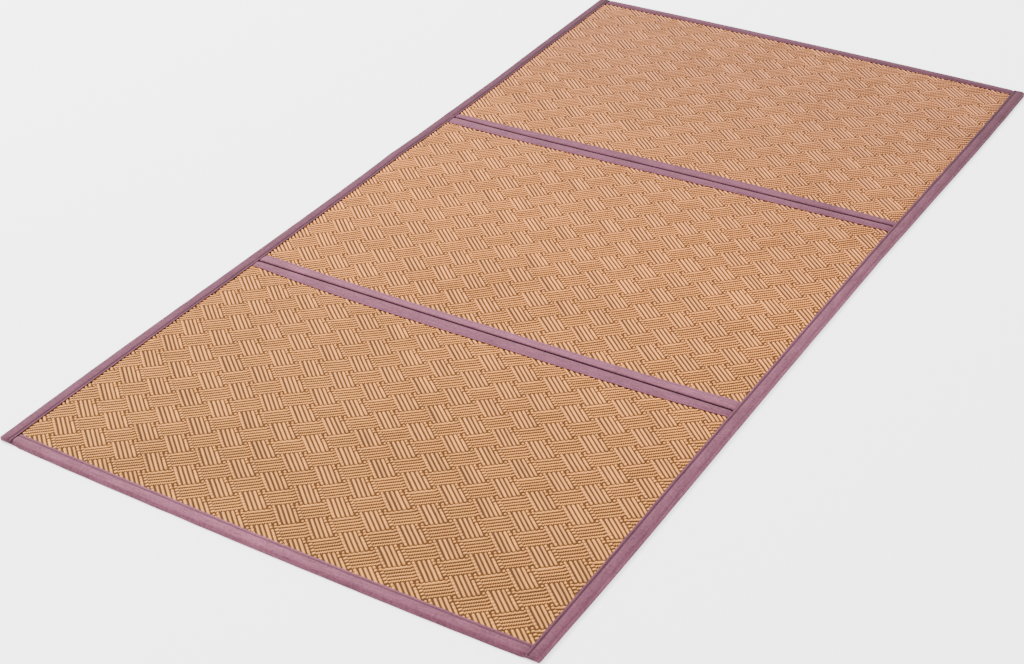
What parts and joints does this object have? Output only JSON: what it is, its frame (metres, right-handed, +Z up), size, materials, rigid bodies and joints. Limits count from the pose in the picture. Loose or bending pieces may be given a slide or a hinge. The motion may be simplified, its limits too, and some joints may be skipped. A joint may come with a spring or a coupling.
{
  "type": "tatami mat",
  "caption": "Flat folding floor mat: woven rattan-look panels in a diagonal basket weave, bound all round and along the folds with mauve cloth.",
  "frame": {"origin": "middle of the mat's outline, on the surface it lies on", "axes": "+X across the width, +Y along the length to the far end, +Z up out of the woven face"},
  "size_m": [1.0102, 1.9556, 0.0096],
  "materials": {
    "weave": "tan flat strips woven in a diagonal basket pattern, low sheen",
    "binding": "mauve plain-woven cloth, folded over and stitched, matt"
  },
  "bodies": {
    "root": {"woven_panel_far": "weave", "woven_panel_middle": "weave", "woven_panel_near": "weave", "side_binding_left": "binding", "side_binding_right": "binding", "end_binding_far": "binding", "end_binding_near": "binding", "fold_binding_far_upper": "binding", "fold_binding_far_lower": "binding", "fold_binding_near_upper": "binding", "fold_binding_near_lower": "binding"}
  },
  "joints": []
}
